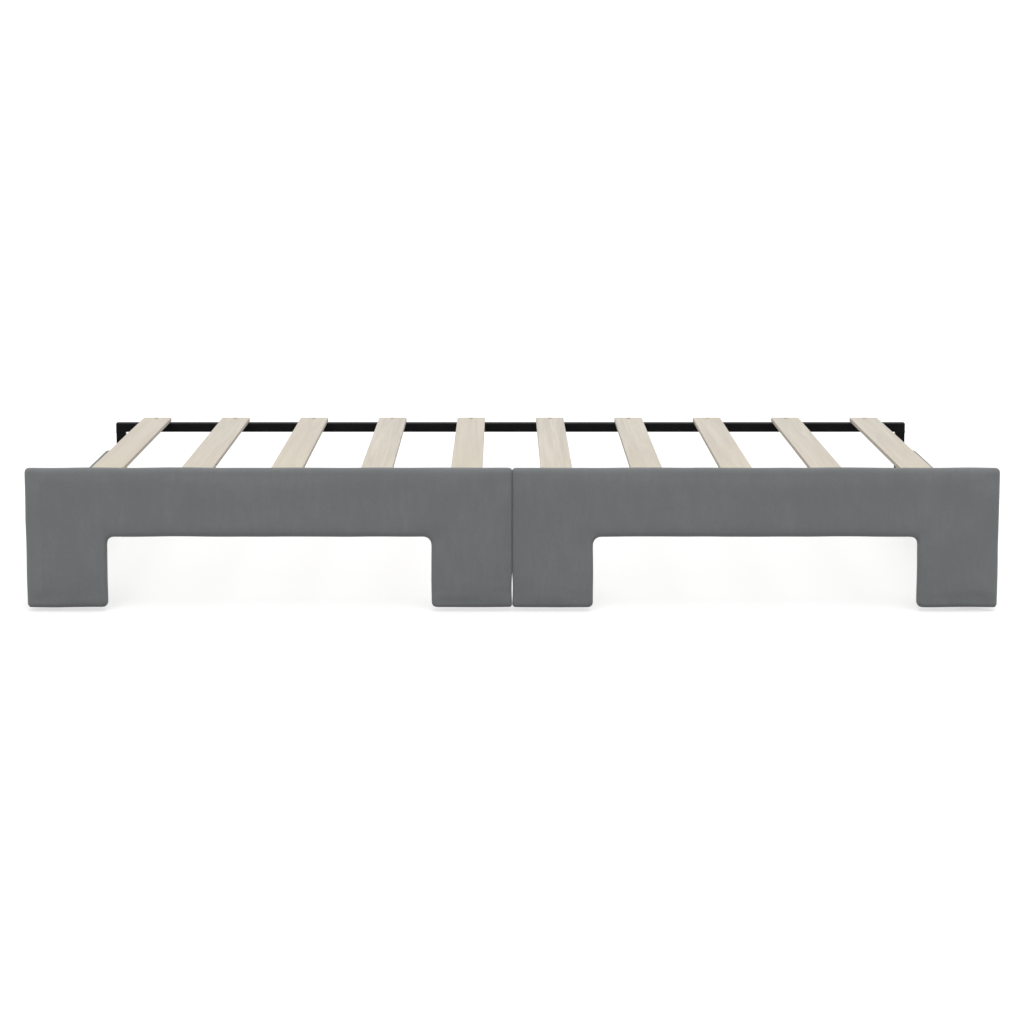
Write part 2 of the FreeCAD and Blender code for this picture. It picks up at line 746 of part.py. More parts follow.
def hex_block(label, radius, height, bore=None):
    """A hexagonal nut or head on the XY plane, with a bore if it is a nut."""
    body = new_body(label)
    outline = sketch_on(body, "XY_Plane", f"{label}_outline")
    polygon(outline, [(f"{radius} * cos({60 * i})", f"{radius} * sin({60 * i})") for i in range(6)])
    pad(body, outline, height)
    if bore:
        hole = sketch_on(body, "XY_Plane", f"{label}_hole")
        circle(hole, "0", "0", bore)
        pocket(body, hole, height, backwards=True)
    return body


def tee_nut():
    """A tee nut: a thin flange on the XY plane and a threaded barrel that points down."""
    body = new_body("tee_nut_master")
    section = sketch_on(body, "XZ_Plane", "tee_nut_section")
    bore = "(bolt_radius + hole_clearance)"
    polygon(section, [
        (bore, "-(board_thickness - nut_flange)"), ("nut_barrel_radius", "-(board_thickness - nut_flange)"),
        ("nut_barrel_radius", "0"), ("nut_flange_radius", "0"), ("nut_flange_radius", "nut_flange"),
        (bore, "nut_flange"),
    ])
    revolve(body, section, "V_Axis")
    return body


def axle_bolt():
    """The castor's axle: a round shank along +Z and a hexagonal head below it."""
    body = hex_block("axle_master", "axle_head_radius", "axle_head_height")
    shank = sketch_on(body, "XY_Plane", "axle_shank", "axle_head_height")
    circle(shank, "0", "0", "axle_radius")
    pad(body, shank, f"2 * ({CHEEK} + fork_wall) + nut_height + axle_end_proud")
    return body


def panel_fasteners():
    """Bolts through the front rail and front legs, and the tee nuts that they pull on."""
    facing_front = ((1, 0, 0), -90)
    rail_back = f"({PANEL_BACK} + tube_size)"
    nut_seat = f"({FRONT} + front_padding + nut_flange)"
    bolt = domed_screw("panel_bolt_master", "bolt_head_radius", "bolt_head_height", "bolt_radius",
                       f"{rail_back} - {nut_seat}")
    places = [item for side in SIDES.values() for item in bolt_spots(side)]
    keep_group("panel_bolts", bolt, [spot(x, rail_back, z, facing_front) for x, z in places])
    keep_group("panel_tee_nuts", tee_nut(), [spot(x, nut_seat, z, ((1, 0, 0), 90)) for x, z in places])


def screw_groups():
    """The screws of the slats, the seam plates, the side boards and the castors."""
    screw = ("screw_head_radius", "screw_head_height", "screw_radius")
    slat_screw = domed_screw("slat_screw_master", *screw, "slat_thickness - screw_recess + tube_wall + screw_tip")
    seat = "frame_height + slat_thickness - screw_recess"
    for end in ENDS:
        keep_group(f"slat_screws_{end}", slat_screw, [spot(slat_place(i), RAIL[end], seat) for i in SLATS])
    plate_screw = domed_screw("plate_screw_master", *screw, "plate_thickness + lining_thickness + plate_screw_bite")
    plate_face = f"{PANEL_BACK} + plate_thickness"
    places = [item for side in SIDES.values() for item in plate_screw_spots(side)]
    keep_group("joining_screws", plate_screw, [spot(x, plate_face, z, ((1, 0, 0), -90)) for x, z in places])
    side_screw = domed_screw("side_screw_master", *screw, "tube_size + side_screw_bite")
    places = []
    for side in SIDES.values():
        for index in SIDE_SCREWS:
            inner_face = f"{side} * ({LEG_CENTRE} - tube_size / 2)"
            turn = ((0, 1, 0), -90 * side)
            places.append(spot(inner_face, side_screw_place(index), SIDE_TUBE_HEIGHT, turn))
    keep_group("side_screws", side_screw, places)
    castor_screw = domed_screw("castor_screw_master", "machine_screw_head_radius", "machine_screw_head_height",
                               "machine_screw_radius", "fork_wall + foot_plate_thickness + machine_screw_tip")
    places = []
    for end in ENDS:
        for side in SIDES.values():
            across, along, up = castor_centre(end, side)
            for x, y in castor_screw_spots():
                under = f"{FORK_TOP} - fork_wall"
                places.append(spot(f"{across} + {x}", f"{along} + {y}", under, ((1, 0, 0), 180)))
    keep_group("castor_screws", castor_screw, places)


def axle_groups():
    """The four castor axles and their nuts, with the heads towards the bed's middle."""
    axle_places = []
    nut_places = []
    for end in ENDS:
        for side in SIDES.values():
            across, along, up = castor_centre(end, side)
            turn = ((0, 1, 0), 90 * side)
            reach = f"({CHEEK} + fork_wall)"
            axle_places.append(spot(f"{across} - {side} * ({reach} + axle_head_height)", along, up, turn))
            nut_places.append(spot(f"{across} + {side} * {reach}", along, up, turn))
    keep_group("castor_axles", axle_bolt(), axle_places)
    nut = hex_block("axle_nut_master", "nut_radius", "nut_height", "axle_radius + hole_clearance")
    keep_group("axle_nuts", nut, nut_places)


def rail_caps():
    """The caps in the four rail ends."""
    places = []
    for end in ENDS:
        for side in SIDES.values():
            turn = ((0, 0, 1), 0 if side > 0 else 180)
            places.append(spot(f"{side} * ({RAIL_REACH} - cap_thickness)", RAIL[end], RAIL_HEIGHT, turn))
    keep_group("rail_end_caps", end_cap(), places)


# ---------------------------------------------------------------- the bed

for name, side in SIDES.items():
    front_board(name, side)
    front_cover(name, side)
    back_lining(name, side)
    side_tube(name, side)
    side_board(side)
    side_cover(side)
joining_plate("upper", "upper_plate_centre")
joining_plate("lower", "lower_plate_centre")
for end in ENDS:
    long_rail(end)
    for name, side in SIDES.items():
        frame_leg(end, name, side)
        foot_plate(end, name, side)
        castor_fork(end, name, side)
        wheel_hub(end, name, side)
        wheel_tread(end, name, side)
for index in SLATS:
    slat(index)
rail_caps()
panel_fasteners()
screw_groups()
axle_groups()

# ---------------------------------------------------------------- check and write

document.recompute()
for item in document.Objects:
    if "Invalid" in item.State or "Error" in item.State:
        raise RuntimeError(f"{item.Label} failed: {item.State}")
os.makedirs("parts", exist_ok=True)
for label, part in parts.items():
    if part.Shape.isNull() or not part.Shape.isValid() or part.Shape.Volume <= 0:
        raise RuntimeError(f"{label} has no valid solid")
    part.Shape.exportStep(f"parts/{label}.step")
print(len(parts), "parts written")
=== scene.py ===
import json
import math

import bmesh
import bpy
from mathutils import Matrix, Vector, noise


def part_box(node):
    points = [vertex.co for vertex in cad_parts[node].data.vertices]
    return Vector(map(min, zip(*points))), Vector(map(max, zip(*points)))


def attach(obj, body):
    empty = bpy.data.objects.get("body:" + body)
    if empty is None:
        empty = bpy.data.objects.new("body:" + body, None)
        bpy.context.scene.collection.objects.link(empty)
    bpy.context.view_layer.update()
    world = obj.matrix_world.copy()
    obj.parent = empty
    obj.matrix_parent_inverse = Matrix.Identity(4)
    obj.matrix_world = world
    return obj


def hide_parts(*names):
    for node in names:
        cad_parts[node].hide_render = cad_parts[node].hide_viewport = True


bl_info = {
    "name": "Trundle bed",
    "version": (1, 0, 0),
    "blender": (4, 5, 0),
    "location": "3D Viewport > Sidebar > Trundle bed",
    "description": "Upholstery, wood, steel and castors of a trundle bed around its packed frame",
    "category": "Add Mesh",
}

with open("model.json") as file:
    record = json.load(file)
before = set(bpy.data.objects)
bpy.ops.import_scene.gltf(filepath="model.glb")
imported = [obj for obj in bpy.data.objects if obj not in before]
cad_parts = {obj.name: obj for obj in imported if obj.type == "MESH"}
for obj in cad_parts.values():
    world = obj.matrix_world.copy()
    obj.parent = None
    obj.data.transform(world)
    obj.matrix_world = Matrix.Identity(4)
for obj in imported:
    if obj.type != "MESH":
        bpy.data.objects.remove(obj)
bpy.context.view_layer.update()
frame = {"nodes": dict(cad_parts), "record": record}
NODES = frame["nodes"]
SIDES = {"left": -1, "right": 1}
ENDS = ("front", "rear")
Y, Z = Vector((0, 1, 0)), Vector((0, 0, 1))


# ---------------------------------------------------------------- sizes and colours

# Padding, in metres: how far the cloth is drawn short of its box, how far it may slip along
# the board, how far it laps behind the board, the depth at the back where it is held, and the
# radius round the foam's face.
DRAWN_IN = {"front": 0.0003, "side": 0.0008}
SLIP = {"front": 0.0005, "side": 0.0009}
LAP = {"front": 0.0005, "side": 0.0003}
HELD = {"front": 0.006, "side": 0.004}
FOAM_ROUND = 0.004
CLOTH_FRAMES = 20
SPREAD_PASSES = 8
SMOOTH_PASSES = 4

# How far the cloth wanders from a true line or plane, and over what length.
WANDER = {
    "front edge": (0.0008, 0.075),
    "front end": (0.0006, 0.06),
    "front crease": (0.0011, 0.05),
    "front pucker": (0.0004, 0.045),
    "side edge": (0.0009, 0.08),
    "side face": (0.0005, 0.06),
}

# The join between the front panels: how far along x it is felt, how much the cloth is pressed
# together there, the groove in front and the wedge that opens towards the floor.
JOIN_REACH = 0.03
JOIN_PRESSED = 0.0012
JOIN_OVERLAP = 0.0001
GROOVE_WIDTH, GROOVE_DEPTH, GROOVE_FADE = 0.0005, 0.014, 0.008
WEDGE_WIDTH, WEDGE_HEIGHT = 0.0013, 0.074

STAPLE_LOW, STAPLE_HIGH = (-0.005, -0.0006, -0.0008), (0.005, 0.0006, 0.0005)
WELD_PROUD, WELD_HALF, WELD_ROUND = 0.0009, 0.0017, 0.0011

CAMERA_PLACE = (-0.0198, -4.4757, 1.094)
CAMERA_SHIFT = (0.0092, -0.22)
SKY_SEEN = 1.3
LAMPS = (
    ("overhead", (-0.15, 0.1, -1), 60, 1.3),
    ("front", (0.35, 0.9, -0.55), 40, 0.4),
)


class TrundleUpholstery(bpy.types.PropertyGroup):
    """Sizes and colours of the padded panels."""

    fabric: bpy.props.FloatVectorProperty(
        name="Fabric", description="Colour of the upholstery", subtype="COLOR",
        size=3, min=0, max=1, default=(0.181, 0.189, 0.192))
    leg_width: bpy.props.FloatProperty(
        name="Leg width", description="Width of each leg of a front panel",
        unit="LENGTH", default=0.166)
    arch_height: bpy.props.FloatProperty(
        name="Arch height", description="From a leg's foot to the top of the arch",
        unit="LENGTH", default=0.148)
    arch_round: bpy.props.FloatProperty(
        name="Arch corners", description="Radius in the arch's two corners",
        unit="LENGTH", default=0.016)
    foot_round: bpy.props.FloatProperty(
        name="Foot corners", description="Radius on the arch side of each foot",
        unit="LENGTH", default=0.010)
    outer_round: bpy.props.FloatProperty(
        name="Outer corners", description="Radius on the panel's outer corners",
        unit="LENGTH", default=0.007)
    side_top_round: bpy.props.FloatProperty(
        name="Side top corner", description="Radius on a side board's upper rear corner",
        unit="LENGTH", default=0.045)
    side_foot_round: bpy.props.FloatProperty(
        name="Side lower corner", description="Radius on a side board's lower rear corner",
        unit="LENGTH", default=0.018)
    puff: bpy.props.FloatProperty(
        name="Puff", description="How far the foam lifts the fabric between its edges",
        unit="LENGTH", default=0.0035)
    grain: bpy.props.FloatProperty(
        name="Mesh grain", description="Voxel size of the padded meshes", unit="LENGTH", default=0.005)


class TrundleFinishes(bpy.types.PropertyGroup):
    """Colours of the hard parts."""

    slat: bpy.props.FloatVectorProperty(
        name="Slats", description="Colour of the plywood slats", subtype="COLOR",
        size=3, min=0, max=1, default=(0.573, 0.529, 0.463))
    board: bpy.props.FloatVectorProperty(
        name="Boards", description="Colour of the raw boards behind the padding", subtype="COLOR",
        size=3, min=0, max=1, default=(0.46, 0.33, 0.2))
    steel: bpy.props.FloatVectorProperty(
        name="Steel", description="Colour of the powder coat", subtype="COLOR",
        size=3, min=0, max=1, default=(0.0045, 0.0045, 0.0048))


class TrundleStage(bpy.types.PropertyGroup):
    """Camera and light."""

    lens: bpy.props.FloatProperty(
        name="Lens", description="Focal length on a 36 mm sensor", unit="CAMERA", default=70.03)
    pitch: bpy.props.FloatProperty(
        name="Pitch", description="How far the camera looks down", subtype="ANGLE", default=0.1045)
    world: bpy.props.FloatProperty(
        name="Room light", description="Strength of the even light all round", default=0.75)


def upholstery():
    return bpy.context.scene.trundle_upholstery


def finishes():
    return bpy.context.scene.trundle_finishes


# ---------------------------------------------------------------- shader maths

class Wire:
    """A shader socket that can be added, scaled and compared like a number."""

    def __init__(self, shader, socket):
        self.shader = shader
        self.socket = socket

    def maths(self, operation, *values):
        return self.shader.node("Math", {"operation": operation}, dict(enumerate(values)))

    def __add__(self, other):
        return self.maths("ADD", self, other)

    def __radd__(self, other):
        return self.maths("ADD", other, self)

    def __sub__(self, other):
        return self.maths("SUBTRACT", self, other)

    def __rsub__(self, other):
        return self.maths("SUBTRACT", other, self)

    def __mul__(self, other):
        return self.maths("MULTIPLY", self, other)

    def __rmul__(self, other):
        return self.maths("MULTIPLY", other, self)

    def __truediv__(self, other):
        return self.maths("DIVIDE", self, other)

    def size(self):
        return self.maths("ABSOLUTE", self)

    def wave(self):
        return self.maths("SINE", self)

    def floor(self):
        return self.maths("FLOOR", self)


class Shader:
    """One material, or the room round the bed, and the nodes that it is made of."""

    def __init__(self, owner):
        self.owner = owner
        owner.use_nodes = True
        self.tree = owner.node_tree
        self.tree.nodes.clear()

    def node(self, kind, settings, sockets, output=0):
        """A node with its settings, then its sockets' values or links; gives back one output."""
        made = self.tree.nodes.new(f"ShaderNode{kind}")
        for key, value in settings.items():
            setattr(made, key, value)
        for key, value in sockets.items():
            if isinstance(value, Wire):
                self.tree.links.new(value.socket, made.inputs[key])
            else:
                made.inputs[key].default_value = value
        return Wire(self, made.outputs[output]) if made.outputs else None

    def place(self, stretch=(1, 1, 1), shift=(0, 0, 0)):
        """Where a point lies on the object, stretched or shifted."""
        here = self.node("TexCoord", {}, {}, "Object")
        return self.node("Mapping", {}, {"Vector": here, "Scale": stretch, "Location": shift})

    def axes(self, vector):
        """The three numbers of a vector."""
        made = self.node("SeparateXYZ", {}, {"Vector": vector})
        outputs = made.socket.node.outputs
        return [Wire(self, outputs[i]) for i in range(3)]

    def facing(self):
        """The three numbers of the surface's own normal."""
        return self.axes(self.node("NewGeometry", {}, {}, "Normal"))

    def noise(self, stretch, scale, detail=3.0, roughness=0.55, shift=(0, 0, 0)):
        return self.node("TexNoise", {}, {
            "Vector": self.place(stretch, shift), "Scale": scale, "Detail": detail,
            "Roughness": roughness})

    def ramp(self, factor, low, high):
        """0 below low, 1 above high, smooth between."""
        return self.node("MapRange", {"interpolation_type": "SMOOTHSTEP"}, {
            "Value": factor, "From Min": low, "From Max": high})

    def mix(self, factor, first, second):
        """A colour between two colours."""
        def full(value):
            return value if isinstance(value, Wire) else (*value, 1)
        return self.node("Mix", {"data_type": "RGBA"}, {
            0: factor, 6: full(first), 7: full(second)}, 2)

    def bump(self, height, distance, strength):
        return self.node("Bump", {}, {"Height": height, "Distance": distance, "Strength": strength})

    def finish(self, colour, roughness, normal=None, **constants):
        """Join everything to the surface and give back the material."""
        if not isinstance(colour, Wire):
            colour = (*colour, 1)
        sockets = {"Base Color": colour, "Roughness": roughness}
        if normal:
            sockets["Normal"] = normal
        for key, value in constants.items():
            sockets[key.replace("_", " ")] = value
        surface = self.node("BsdfPrincipled", {}, sockets)
        self.node("OutputMaterial", {}, {"Surface": surface})
        return self.owner


def grey(amount):
    return (amount, amount, amount)


def darker(colour, share):
    """A colour with each part scaled by one share, or by a share of its own."""
    shares = share if isinstance(share, tuple) else grey(share)
    return tuple(s * c for s, c in zip(shares, colour))


def fabric_finish():
    """A short woven upholstery cloth: threads, uneven yarn, soft clouding, and painted shade where it
    faces down.
    """
    shader = Shader(bpy.data.materials.new("grey_fabric"))
    x, y, z = shader.axes(shader.place())
    nx, _, nz = shader.facing()
    on_side = shader.ramp(nx.size(), 0.55, 0.85)
    on_top = shader.ramp(nz.size(), 0.55, 0.85)
    across = x + (y - x) * on_side
    up = z + (y - z) * on_top
    thread = 2 * math.pi / 0.0016
    weft = (across * thread).wave()
    warp = (up * thread).wave()
    weave = weft * warp
    yarn = shader.noise((1, 1, 0.12), 900, 2)
    slub = shader.noise((1, 1, 0.16), 110, 3, shift=(3, 1, 7))
    weft_slub = shader.noise((0.12, 0.12, 1), 140, 3, shift=(6, 2, 5))
    cloud = shader.noise((1, 1, 0.6), 16, 4, shift=(1, 5, 2))
    speck = shader.noise((1, 1, 1), 1400, 1, shift=(4, 4, 1))
    base = tuple(upholstery().fabric)
    tone = shader.mix(shader.ramp(slub, 0.3, 0.7), darker(base, 0.965), darker(base, 1.04))
    tone = shader.mix(shader.ramp(weft_slub, 0.35, 0.75) * 0.35, tone, darker(base, 0.92))
    tone = shader.mix(shader.ramp(cloud, 0.34, 0.64) * 0.55, tone, darker(base, (0.86, 0.89, 0.88)))
    tone = shader.mix(shader.ramp(yarn, 0.35, 0.7) * 0.3, tone, darker(base, 0.7))
    tone = shader.mix(shader.ramp(speck, 0.62, 0.72) * 0.3, tone, darker(base, 1.45))
    tone = shader.mix((weave * 0.5 + 0.5) * 0.2, tone, darker(base, 0.62))
    # Painted shade: the cloth's colour is made darker where its surface faces down.
    tone = shader.mix(shader.ramp(nz, -0.02, -0.35) * 0.55, tone, darker(base, 0.68))
    height = weave * 0.5 + yarn * 0.7 + slub * 0.15 + weft_slub * 0.15
    return shader.finish(tone, 0.92, shader.bump(height, 0.00022, 0.7),
                         Sheen_Weight=0.25, Sheen_Roughness=0.55, Specular_IOR_Level=0.2)


def lining_finish():
    """Black non-woven dust cloth with its small bonded dimples."""
    shader = Shader(bpy.data.materials.new("lining"))
    x, y, z = shader.axes(shader.place())
    pitch = 2 * math.pi / 0.0021
    dimple = shader.ramp(((x + z) * pitch).wave() * ((x - z) * pitch).wave(), 0.25, 0.8)
    fibre = shader.noise((1, 1, 1), 420, 4)
    cloud = shader.noise((1, 1, 1), 25, 2)
    tone = shader.mix(shader.ramp(fibre, 0.35, 0.7), grey(0.012), grey(0.03))
    tone = shader.mix(dimple * 0.5, tone, grey(0.007))
    tone = shader.mix(shader.ramp(cloud, 0.35, 0.65) * 0.3, tone, grey(0.026))
    return shader.finish(tone, 0.85, shader.bump(fibre * 0.4 - dimple, 0.00012, 0.7),
                         Specular_IOR_Level=0.3)


def plywood_finish():
    """Planed plywood: long soft grain, an own tone for each slat, and its plies at the edges."""
    shader = Shader(bpy.data.materials.new("slat_wood"))
    first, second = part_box("slat_01"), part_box("slat_02")
    pitch = second[0].x - first[0].x
    x, y, z = shader.axes(shader.place())
    number = ((x + pitch * 20) / pitch).floor()
    own = shader.node("TexWhiteNoise", {"noise_dimensions": "1D"}, {"W": number})
    moved = shader.node("CombineXYZ", {}, {
        "X": x * 30 + own * 40, "Y": y * 1.3 + own * 17, "Z": z * 30})
    grain = shader.node("TexNoise", {}, {
        "Vector": moved, "Scale": 1.6, "Detail": 6.0, "Roughness": 0.6, "Distortion": 0.8})
    fine = shader.node("CombineXYZ", {}, {"X": x * 260, "Y": y * 7 + own * 9, "Z": z * 260})
    pores = shader.node("TexNoise", {}, {"Vector": fine, "Scale": 1.5, "Detail": 3.0, "Roughness": 0.6})
    base = tuple(finishes().slat)
    tone = shader.mix(shader.ramp(grain, 0.32, 0.68), darker(base, 1.07), darker(base, 0.9))
    tone = shader.mix(shader.ramp(pores, 0.5, 0.72) * 0.4, tone, darker(base, (0.82, 0.75, 0.66)))
    tone = shader.mix(own * 0.5, tone, darker(base, (0.98, 0.96, 0.91)))
    front = shader.ramp(y, 0.3, -0.42)
    tone = shader.mix(front * 0.3, tone, darker(base, (1.1, 1.05, 0.86)))
    low, high = first
    ply = (high.z - low.z) / 7
    layer = ((z - low.z) / ply).floor()
    core = (layer * math.pi / 2).wave().size()
    rough = shader.noise((1, 1, 3), 300, 4)
    side_tone = shader.mix(core, darker(base, 1.05), darker(base, (0.92, 0.84, 0.74)))
    side_tone = shader.mix(shader.ramp(rough, 0.35, 0.7) * 0.4, side_tone, darker(base, 0.76))
    _, _, nz = shader.facing()
    edge = 1 - shader.ramp(nz.size(), 0.5, 0.9)
    tone = shader.mix(edge, tone, side_tone)
    height = pores * 0.7 + grain * 0.3 + edge * (rough * 1.6 + core)
    return shader.finish(tone, 0.52 + pores * 0.18, shader.bump(height, 0.00018, 0.6),
                         Specular_IOR_Level=0.35)


def board_finish():
    """Raw board behind the padding: coarse grain and a few dark strands."""
    shader = Shader(bpy.data.materials.new("board_wood"))
    grain = shader.noise((1.2, 20, 20), 4, 6)
    strand = shader.noise((8, 90, 90), 3, 4, shift=(2, 2, 2))
    base = tuple(finishes().board)
    tone = shader.mix(shader.ramp(grain, 0.3, 0.7), darker(base, 1.1), darker(base, 0.72))
    tone = shader.mix(shader.ramp(strand, 0.55, 0.75) * 0.6, tone, darker(base, 0.45))
    return shader.finish(tone, 0.7 + strand * 0.2, shader.bump(grain + strand, 0.0003, 0.6))


def powder_finish():
    """Satin black powder coat with its fine orange peel and a little dust."""
    shader = Shader(bpy.data.materials.new("black_steel"))
    peel = shader.noise((1, 1, 1), 620, 2)
    patch = shader.noise((1, 1, 1), 9, 3)
    _, _, nz = shader.facing()
    base = tuple(finishes().steel)
    dust = shader.ramp(nz, 0.6, 0.95) * shader.ramp(patch, 0.4, 0.75)
    tone = shader.mix(shader.ramp(patch, 0.35, 0.7), base, darker(base, 1.5))
    tone = shader.mix(dust * 0.2, tone, darker(base, 4))
    return shader.finish(tone, 0.42 + patch * 0.16, shader.bump(peel, 0.00012, 0.5),
                         Specular_IOR_Level=0.12)


def metal_finish(name, colour, stain, rough):
    """Plated steel: fine brushing, cloudy plating and small dull spots."""
    shader = Shader(bpy.data.materials.new(name))
    cloud = shader.noise((1, 1, 1), 55, 4)
    brushed = shader.noise((1, 1, 9), 260, 3)
    spot = shader.noise((1, 1, 1), 240, 2, shift=(5, 5, 5))
    tone = shader.mix(shader.ramp(cloud, 0.3, 0.7), colour, stain)
    tone = shader.mix(shader.ramp(spot, 0.62, 0.75) * 0.5, tone, darker(stain, 0.5))
    return shader.finish(tone, rough + cloud * 0.22, shader.bump(brushed, 0.00005, 0.4), Metallic=1.0)


def moulded_finish(name, colour, rough):
    """Moulded plastic with a faint spark-eroded grain and scuffs."""
    shader = Shader(bpy.data.materials.new(name))
    erode = shader.noise((1, 1, 1), 1500, 2)
    scuff = shader.noise((1, 6, 1), 60, 4)
    tone = shader.mix(shader.ramp(scuff, 0.55, 0.8) * 0.5, colour, darker(colour, 1.9))
    return shader.finish(tone, rough + scuff * 0.15, shader.bump(erode, 0.00006, 0.5))


def tread_finish():
    """Soft tyre with a fine parting line round its middle and dust on its shoulders."""
    shader = Shader(bpy.data.materials.new("soft_tread"))
    x, _, _ = shader.axes(shader.place())
    low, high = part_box("wheel_tread_front_right")
    off_middle = (x.size() - (low.x + high.x) / 2).size()
    line = 1 - shader.ramp(off_middle, 0.0002, 0.0006)
    dust = shader.noise((1, 1, 1), 90, 4)
    tone = shader.mix(shader.ramp(dust, 0.35, 0.7), grey(0.1), grey(0.15))
    tone = shader.mix(line * 0.5, tone, grey(0.05))
    return shader.finish(tone, 0.68 + dust * 0.15, shader.bump(dust * 0.4 + line, 0.00025, 0.7),
                         Specular_IOR_Level=0.35)


def floor_finish():
    """A pale studio floor that glows a little from below, like a light table."""
    shader = Shader(bpy.data.materials.new("floor"))
    matt = shader.node("BsdfDiffuse", {}, {"Color": (0.55, 0.55, 0.55, 1)})
    seen = shader.node("LightPath", {}, {}, "Is Camera Ray")
    glow = shader.node("Emission", {}, {"Color": (1, 1, 1, 1), "Strength": seen * 0.55})
    both = shader.node("AddShader", {}, {0: matt, 1: glow})
    shader.node("OutputMaterial", {}, {"Surface": both})
    return shader.owner


FINISHES = {
    "grey_fabric": fabric_finish,
    "lining": lining_finish,
    "slat_wood": plywood_finish,
    "board_wood": board_finish,
    "black_steel": powder_finish,
    "zinc_steel": lambda: metal_finish("zinc_steel", (0.62, 0.63, 0.64), (0.45, 0.46, 0.48), 0.24),
    "bronzed_screw": lambda: metal_finish("bronzed_screw", (0.5, 0.41, 0.31), (0.34, 0.26, 0.18), 0.32),
    "black_plastic": lambda: moulded_finish("black_plastic", grey(0.012), 0.4),
    "grey_plastic": lambda: moulded_finish("grey_plastic", grey(0.045), 0.38),
    "soft_tread": tread_finish,
}
MADE = {}


def material(slot):
    """The material of a slot, made the first time that it is asked for."""
    if slot not in MADE:
        MADE[slot] = FINISHES[slot]()
    return MADE[slot]


def dress(node):
    """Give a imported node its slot's material."""
    slot = next(row["material_slot"] for row in frame["record"]["subparts"] if row["node"] == node)
    mesh = NODES[node].data
    mesh.materials.clear()
    mesh.materials.append(material(slot))


def dress_all(*starts):
    """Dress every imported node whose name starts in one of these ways."""
    for node in NODES:
        if node.startswith(starts):
            dress(node)


# ---------------------------------------------------------------- meshes

def piece_from(mesh, name, slot, body, stands_for=(), smooth=True):
    """Turn a bmesh into a finished piece: material, slot, body and the nodes it stands for."""
    data = bpy.data.meshes.new(name)
    mesh.to_mesh(data)
    mesh.free()
    data.shade_smooth() if smooth else data.shade_flat()
    piece = bpy.data.objects.new(name, data)
    bpy.context.scene.collection.objects.link(piece)
    data.materials.append(material(slot))
    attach(piece, body)
    if stands_for:
        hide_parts(*stands_for)
    return piece


def applied(piece):
    """Swap a piece's mesh for what its modifiers make of it."""
    graph = bpy.context.evaluated_depsgraph_get()
    data = bpy.data.meshes.new_from_object(piece.evaluated_get(graph), depsgraph=graph)
    data.name = piece.name
    piece.modifiers.clear()
    piece.data = data
    data.shade_smooth()


def joined(mesh, part):
    """Add a small part to a mesh, and let go of the part."""
    data = bpy.data.meshes.new("part")
    part.to_mesh(data)
    part.free()
    mesh.from_mesh(data)
    bpy.data.meshes.remove(data)


def corner_bevel(mesh, verts, radius, segments=6):
    """Round outline corners by a radius."""
    bmesh.ops.bevel(mesh, geom=verts, offset=radius, offset_type="ABSOLUTE", segments=segments,
                    profile=0.5, affect="VERTICES", material=-1)


def edge_bevel(mesh, edges, width, segments=3):
    """Round edges by a width."""
    bmesh.ops.bevel(mesh, geom=edges, offset=width, offset_type="OFFSET", segments=segments,
                    profile=0.5, affect="EDGES", clamp_overlap=True, material=-1)


def outline_face(mesh, corners):
    """A flat face through corners given as (point, radius)."""
    verts = [mesh.verts.new(point) for point, _ in corners]
    mesh.faces.new(verts)
    for vert, (_, radius) in zip(verts, corners):
        if radius:
            corner_bevel(mesh, [vert], radius)


def slab(corners, depth, edge_round):
    """A closed slab from a flat back outline to a face whose edges are rounded."""
    mesh = bmesh.new()
    outline_face(mesh, corners)
    mesh.faces.ensure_lookup_table()
    made = bmesh.ops.extrude_face_region(mesh, geom=list(mesh.faces))
    moved = [item for item in made["geom"] if isinstance(item, bmesh.types.BMVert)]
    bmesh.ops.translate(mesh, verts=moved, vec=depth)
    if edge_round:
        raised = set(moved)
        rim = [edge for edge in mesh.edges if edge.verts[0] in raised and edge.verts[1] in raised]
        edge_bevel(mesh, rim, edge_round, 4)
    bmesh.ops.recalc_face_normals(mesh, faces=mesh.faces)
    return mesh


def box_mesh(mesh, low, high, round_by=0.0, segments=2):
    """A box between two corners, with its edges rounded if asked; gives back its vertices."""
    made = bmesh.ops.create_cube(mesh, size=1)
    size = Vector(high) - Vector(low)
    bmesh.ops.scale(mesh, vec=size, verts=made["verts"])
    bmesh.ops.translate(mesh, vec=(Vector(high) + Vector(low)) / 2, verts=made["verts"])
    if round_by:
        edges = list({edge for vert in made["verts"] for edge in vert.link_edges})
        edge_bevel(mesh, edges, round_by, segments)


